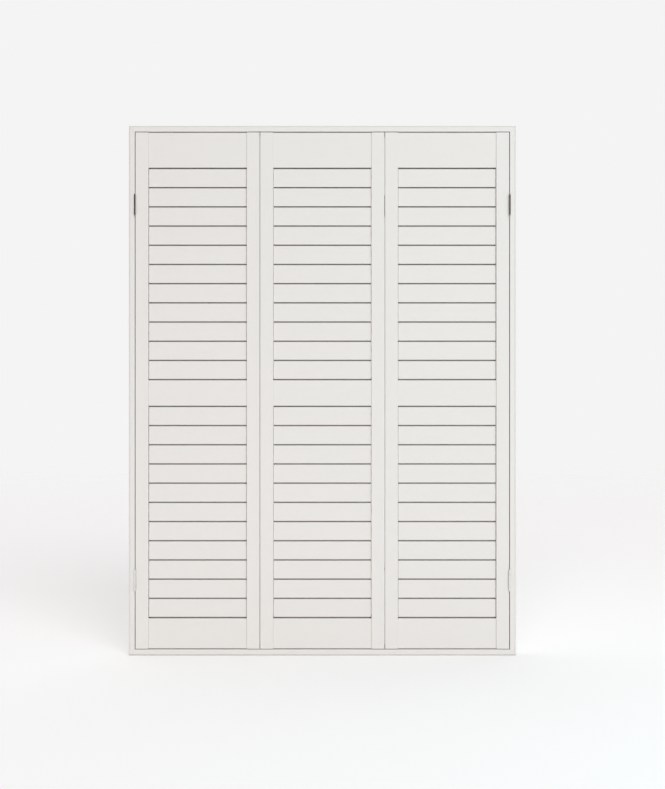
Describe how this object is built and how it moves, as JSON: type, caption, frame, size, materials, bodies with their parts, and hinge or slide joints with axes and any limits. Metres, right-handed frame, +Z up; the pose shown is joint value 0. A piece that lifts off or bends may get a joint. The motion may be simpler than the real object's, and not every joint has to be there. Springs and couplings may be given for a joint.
{
  "type": "louvred shutters",
  "caption": "Interior louvred shutters in a mitred L-section frame: hinged leaves, one pair folding, with tilting flush louvres on rear tilt bars.",
  "frame": {"origin": "middle of the sill's underside", "axes": "+X to the right seen from the room, +Y from the room towards the window, +Z up"},
  "size_m": [1.373, 0.0533, 1.879],
  "materials": {
    "white_paint": "satin white paint on wood",
    "hinge_steel": "bright plated steel",
    "catch_steel": "plain steel"
  },
  "bodies": {
    "frame": {"frame_sill": "white_paint", "frame_head": "white_paint", "frame_left_jamb": "white_paint", "frame_right_jamb": "white_paint", "frame_hinge_leaves": "hinge_steel", "catch_magnets": "catch_steel"},
    "left_leaf": {"left_leaf_left_stile": "white_paint", "left_leaf_right_stile": "white_paint", "left_leaf_top_rail": "white_paint", "left_leaf_mid_rail": "white_paint", "left_leaf_bottom_rail": "white_paint", "left_leaf_fittings": "hinge_steel"},
    "middle_leaf": {"middle_leaf_left_stile": "white_paint", "middle_leaf_right_stile": "white_paint", "middle_leaf_top_rail": "white_paint", "middle_leaf_mid_rail": "white_paint", "middle_leaf_bottom_rail": "white_paint", "middle_leaf_fittings": "hinge_steel"},
    "right_leaf": {"right_leaf_left_stile": "white_paint", "right_leaf_right_stile": "white_paint", "right_leaf_top_rail": "white_paint", "right_leaf_mid_rail": "white_paint", "right_leaf_bottom_rail": "white_paint", "right_leaf_fittings": "hinge_steel"},
    "left_louvre_01": {"left_louvre_01": "white_paint"},
    "left_louvre_02": {"left_louvre_02": "white_paint"},
    "left_louvre_03": {"left_louvre_03": "white_paint"},
    "left_louvre_04": {"left_louvre_04": "white_paint"},
    "left_louvre_05": {"left_louvre_05": "white_paint"},
    "left_louvre_06": {"left_louvre_06": "white_paint"},
    "left_louvre_07": {"left_louvre_07": "white_paint"},
    "left_louvre_08": {"left_louvre_08": "white_paint"},
    "left_louvre_09": {"left_louvre_09": "white_paint"},
    "left_louvre_10": {"left_louvre_10": "white_paint"},
    "left_louvre_11": {"left_louvre_11": "white_paint"},
    "left_tilt_bar": {"left_tilt_bar": "white_paint"},
    "middle_louvre_01": {"middle_louvre_01": "white_paint"},
    "middle_louvre_02": {"middle_louvre_02": "white_paint"},
    "middle_louvre_03": {"middle_louvre_03": "white_paint"},
    "middle_louvre_04": {"middle_louvre_04": "white_paint"},
    "middle_louvre_05": {"middle_louvre_05": "white_paint"},
    "middle_louvre_06": {"middle_louvre_06": "white_paint"},
    "middle_louvre_07": {"middle_louvre_07": "white_paint"},
    "middle_louvre_08": {"middle_louvre_08": "white_paint"},
    "middle_louvre_09": {"middle_louvre_09": "white_paint"},
    "middle_louvre_10": {"middle_louvre_10": "white_paint"},
    "middle_louvre_11": {"middle_louvre_11": "white_paint"},
    "middle_tilt_bar": {"middle_tilt_bar": "white_paint"},
    "right_louvre_01": {"right_louvre_01": "white_paint"},
    "right_louvre_02": {"right_louvre_02": "white_paint"},
    "right_louvre_03": {"right_louvre_03": "white_paint"},
    "right_louvre_04": {"right_louvre_04": "white_paint"},
    "right_louvre_05": {"right_louvre_05": "white_paint"},
    "right_louvre_06": {"right_louvre_06": "white_paint"},
    "right_louvre_07": {"right_louvre_07": "white_paint"},
    "right_louvre_08": {"right_louvre_08": "white_paint"},
    "right_louvre_09": {"right_louvre_09": "white_paint"},
    "right_louvre_10": {"right_louvre_10": "white_paint"},
    "right_louvre_11": {"right_louvre_11": "white_paint"},
    "right_tilt_bar": {"right_tilt_bar": "white_paint"}
  },
  "joints": [
    {"name": "left_leaf_swing", "type": "hinge", "parent": "frame", "child": "left_leaf", "pos_m": [-0.6645, -0.0268, 0.94], "axis": [0, 0, -1], "range_deg": [0, 170]},
    {"name": "right_leaf_swing", "type": "hinge", "parent": "frame", "child": "right_leaf", "pos_m": [0.6645, -0.0268, 0.94], "axis": [0, 0, 1], "range_deg": [0, 170]},
    {"name": "middle_leaf_fold", "type": "hinge", "parent": "right_leaf", "child": "middle_leaf", "pos_m": [0.2215, 0.0098, 0.94], "axis": [0, 0, -1], "range_deg": [0, 170]},
    {"name": "left_louvre_01_tilt", "type": "hinge", "parent": "left_leaf", "child": "left_louvre_01", "pos_m": [0, -0.0075, 1.70118], "axis": [1, 0, 0], "range_deg": [-100, 0]},
    {"name": "left_louvre_02_tilt", "type": "hinge", "parent": "left_leaf", "child": "left_louvre_02", "pos_m": [0, -0.0075, 1.63292], "axis": [1, 0, 0], "range_deg": [-100, 0]},
    {"name": "left_louvre_03_tilt", "type": "hinge", "parent": "left_leaf", "child": "left_louvre_03", "pos_m": [0, -0.0075, 1.56468], "axis": [1, 0, 0], "range_deg": [-100, 0]},
    {"name": "left_louvre_04_tilt", "type": "hinge", "parent": "left_leaf", "child": "left_louvre_04", "pos_m": [0, -0.0075, 1.49642], "axis": [1, 0, 0], "range_deg": [-100, 0]},
    {"name": "left_louvre_05_tilt", "type": "hinge", "parent": "left_leaf", "child": "left_louvre_05", "pos_m": [0, -0.0075, 1.42817], "axis": [1, 0, 0], "range_deg": [-100, 0]},
    {"name": "left_louvre_06_tilt", "type": "hinge", "parent": "left_leaf", "child": "left_louvre_06", "pos_m": [0, -0.0075, 1.35993], "axis": [1, 0, 0], "range_deg": [-100, 0]},
    {"name": "left_louvre_07_tilt", "type": "hinge", "parent": "left_leaf", "child": "left_louvre_07", "pos_m": [0, -0.0075, 1.29167], "axis": [1, 0, 0], "range_deg": [-100, 0]},
    {"name": "left_louvre_08_tilt", "type": "hinge", "parent": "left_leaf", "child": "left_louvre_08", "pos_m": [0, -0.0075, 1.22342], "axis": [1, 0, 0], "range_deg": [-100, 0]},
    {"name": "left_louvre_09_tilt", "type": "hinge", "parent": "left_leaf", "child": "left_louvre_09", "pos_m": [0, -0.0075, 1.15518], "axis": [1, 0, 0], "range_deg": [-100, 0]},
    {"name": "left_louvre_10_tilt", "type": "hinge", "parent": "left_leaf", "child": "left_louvre_10", "pos_m": [0, -0.0075, 1.08692], "axis": [1, 0, 0], "range_deg": [-100, 0]},
    {"name": "left_louvre_11_tilt", "type": "hinge", "parent": "left_leaf", "child": "left_louvre_11", "pos_m": [0, -0.0075, 1.01867], "axis": [1, 0, 0], "range_deg": [-100, 0]},
    {"name": "left_tilt_bar_pivot", "type": "hinge", "parent": "left_louvre_01", "child": "left_tilt_bar", "pos_m": [0, 0.007, 1.7463], "axis": [1, 0, 0], "range_deg": [0, 100]},
    {"name": "middle_louvre_01_tilt", "type": "hinge", "parent": "middle_leaf", "child": "middle_louvre_01", "pos_m": [0, -0.0075, 1.70118], "axis": [1, 0, 0], "range_deg": [-100, 0]},
    {"name": "middle_louvre_02_tilt", "type": "hinge", "parent": "middle_leaf", "child": "middle_louvre_02", "pos_m": [0, -0.0075, 1.63292], "axis": [1, 0, 0], "range_deg": [-100, 0]},
    {"name": "middle_louvre_03_tilt", "type": "hinge", "parent": "middle_leaf", "child": "middle_louvre_03", "pos_m": [0, -0.0075, 1.56468], "axis": [1, 0, 0], "range_deg": [-100, 0]},
    {"name": "middle_louvre_04_tilt", "type": "hinge", "parent": "middle_leaf", "child": "middle_louvre_04", "pos_m": [0, -0.0075, 1.49642], "axis": [1, 0, 0], "range_deg": [-100, 0]},
    {"name": "middle_louvre_05_tilt", "type": "hinge", "parent": "middle_leaf", "child": "middle_louvre_05", "pos_m": [0, -0.0075, 1.42817], "axis": [1, 0, 0], "range_deg": [-100, 0]},
    {"name": "middle_louvre_06_tilt", "type": "hinge", "parent": "middle_leaf", "child": "middle_louvre_06", "pos_m": [0, -0.0075, 1.35993], "axis": [1, 0, 0], "range_deg": [-100, 0]},
    {"name": "middle_louvre_07_tilt", "type": "hinge", "parent": "middle_leaf", "child": "middle_louvre_07", "pos_m": [0, -0.0075, 1.29167], "axis": [1, 0, 0], "range_deg": [-100, 0]},
    {"name": "middle_louvre_08_tilt", "type": "hinge", "parent": "middle_leaf", "child": "middle_louvre_08", "pos_m": [0, -0.0075, 1.22342], "axis": [1, 0, 0], "range_deg": [-100, 0]},
    {"name": "middle_louvre_09_tilt", "type": "hinge", "parent": "middle_leaf", "child": "middle_louvre_09", "pos_m": [0, -0.0075, 1.15518], "axis": [1, 0, 0], "range_deg": [-100, 0]},
    {"name": "middle_louvre_10_tilt", "type": "hinge", "parent": "middle_leaf", "child": "middle_louvre_10", "pos_m": [0, -0.0075, 1.08692], "axis": [1, 0, 0], "range_deg": [-100, 0]},
    {"name": "middle_louvre_11_tilt", "type": "hinge", "parent": "middle_leaf", "child": "middle_louvre_11", "pos_m": [0, -0.0075, 1.01867], "axis": [1, 0, 0], "range_deg": [-100, 0]},
    {"name": "middle_tilt_bar_pivot", "type": "hinge", "parent": "middle_louvre_01", "child": "middle_tilt_bar", "pos_m": [0, 0.007, 1.7463], "axis": [1, 0, 0], "range_deg": [0, 100]},
    {"name": "right_louvre_01_tilt", "type": "hinge", "parent": "right_leaf", "child": "right_louvre_01", "pos_m": [0, -0.0075, 1.70118], "axis": [1, 0, 0], "range_deg": [-100, 0]},
    {"name": "right_louvre_02_tilt", "type": "hinge", "parent": "right_leaf", "child": "right_louvre_02", "pos_m": [0, -0.0075, 1.63292], "axis": [1, 0, 0], "range_deg": [-100, 0]},
    {"name": "right_louvre_03_tilt", "type": "hinge", "parent": "right_leaf", "child": "right_louvre_03", "pos_m": [0, -0.0075, 1.56468], "axis": [1, 0, 0], "range_deg": [-100, 0]},
    {"name": "right_louvre_04_tilt", "type": "hinge", "parent": "right_leaf", "child": "right_louvre_04", "pos_m": [0, -0.0075, 1.49642], "axis": [1, 0, 0], "range_deg": [-100, 0]},
    {"name": "right_louvre_05_tilt", "type": "hinge", "parent": "right_leaf", "child": "right_louvre_05", "pos_m": [0, -0.0075, 1.42817], "axis": [1, 0, 0], "range_deg": [-100, 0]},
    {"name": "right_louvre_06_tilt", "type": "hinge", "parent": "right_leaf", "child": "right_louvre_06", "pos_m": [0, -0.0075, 1.35993], "axis": [1, 0, 0], "range_deg": [-100, 0]},
    {"name": "right_louvre_07_tilt", "type": "hinge", "parent": "right_leaf", "child": "right_louvre_07", "pos_m": [0, -0.0075, 1.29167], "axis": [1, 0, 0], "range_deg": [-100, 0]},
    {"name": "right_louvre_08_tilt", "type": "hinge", "parent": "right_leaf", "child": "right_louvre_08", "pos_m": [0, -0.0075, 1.22342], "axis": [1, 0, 0], "range_deg": [-100, 0]},
    {"name": "right_louvre_09_tilt", "type": "hinge", "parent": "right_leaf", "child": "right_louvre_09", "pos_m": [0, -0.0075, 1.15518], "axis": [1, 0, 0], "range_deg": [-100, 0]},
    {"name": "right_louvre_10_tilt", "type": "hinge", "parent": "right_leaf", "child": "right_louvre_10", "pos_m": [0, -0.0075, 1.08692], "axis": [1, 0, 0], "range_deg": [-100, 0]},
    {"name": "right_louvre_11_tilt", "type": "hinge", "parent": "right_leaf", "child": "right_louvre_11", "pos_m": [0, -0.0075, 1.01867], "axis": [1, 0, 0], "range_deg": [-100, 0]},
    {"name": "right_tilt_bar_pivot", "type": "hinge", "parent": "right_louvre_01", "child": "right_tilt_bar", "pos_m": [0, 0.007, 1.7463], "axis": [1, 0, 0], "range_deg": [0, 100]}
  ],
  "couplings": [
    {"joint": "middle_leaf_fold", "follows": "right_leaf_swing", "ratio": 1},
    {"joint": "left_louvre_02_tilt", "follows": "left_louvre_01_tilt", "ratio": 1},
    {"joint": "left_louvre_03_tilt", "follows": "left_louvre_01_tilt", "ratio": 1},
    {"joint": "left_louvre_04_tilt", "follows": "left_louvre_01_tilt", "ratio": 1},
    {"joint": "left_louvre_05_tilt", "follows": "left_louvre_01_tilt", "ratio": 1},
    {"joint": "left_louvre_06_tilt", "follows": "left_louvre_01_tilt", "ratio": 1},
    {"joint": "left_louvre_07_tilt", "follows": "left_louvre_01_tilt", "ratio": 1},
    {"joint": "left_louvre_08_tilt", "follows": "left_louvre_01_tilt", "ratio": 1},
    {"joint": "left_louvre_09_tilt", "follows": "left_louvre_01_tilt", "ratio": 1},
    {"joint": "left_louvre_10_tilt", "follows": "left_louvre_01_tilt", "ratio": 1},
    {"joint": "left_louvre_11_tilt", "follows": "left_louvre_01_tilt", "ratio": 1},
    {"joint": "left_tilt_bar_pivot", "follows": "left_louvre_01_tilt", "ratio": -1},
    {"joint": "middle_louvre_02_tilt", "follows": "middle_louvre_01_tilt", "ratio": 1},
    {"joint": "middle_louvre_03_tilt", "follows": "middle_louvre_01_tilt", "ratio": 1},
    {"joint": "middle_louvre_04_tilt", "follows": "middle_louvre_01_tilt", "ratio": 1},
    {"joint": "middle_louvre_05_tilt", "follows": "middle_louvre_01_tilt", "ratio": 1},
    {"joint": "middle_louvre_06_tilt", "follows": "middle_louvre_01_tilt", "ratio": 1},
    {"joint": "middle_louvre_07_tilt", "follows": "middle_louvre_01_tilt", "ratio": 1},
    {"joint": "middle_louvre_08_tilt", "follows": "middle_louvre_01_tilt", "ratio": 1},
    {"joint": "middle_louvre_09_tilt", "follows": "middle_louvre_01_tilt", "ratio": 1},
    {"joint": "middle_louvre_10_tilt", "follows": "middle_louvre_01_tilt", "ratio": 1},
    {"joint": "middle_louvre_11_tilt", "follows": "middle_louvre_01_tilt", "ratio": 1},
    {"joint": "middle_tilt_bar_pivot", "follows": "middle_louvre_01_tilt", "ratio": -1},
    {"joint": "right_louvre_02_tilt", "follows": "right_louvre_01_tilt", "ratio": 1},
    {"joint": "right_louvre_03_tilt", "follows": "right_louvre_01_tilt", "ratio": 1},
    {"joint": "right_louvre_04_tilt", "follows": "right_louvre_01_tilt", "ratio": 1},
    {"joint": "right_louvre_05_tilt", "follows": "right_louvre_01_tilt", "ratio": 1},
    {"joint": "right_louvre_06_tilt", "follows": "right_louvre_01_tilt", "ratio": 1},
    {"joint": "right_louvre_07_tilt", "follows": "right_louvre_01_tilt", "ratio": 1},
    {"joint": "right_louvre_08_tilt", "follows": "right_louvre_01_tilt", "ratio": 1},
    {"joint": "right_louvre_09_tilt", "follows": "right_louvre_01_tilt", "ratio": 1},
    {"joint": "right_louvre_10_tilt", "follows": "right_louvre_01_tilt", "ratio": 1},
    {"joint": "right_louvre_11_tilt", "follows": "right_louvre_01_tilt", "ratio": 1},
    {"joint": "right_tilt_bar_pivot", "follows": "right_louvre_01_tilt", "ratio": -1}
  ]
}
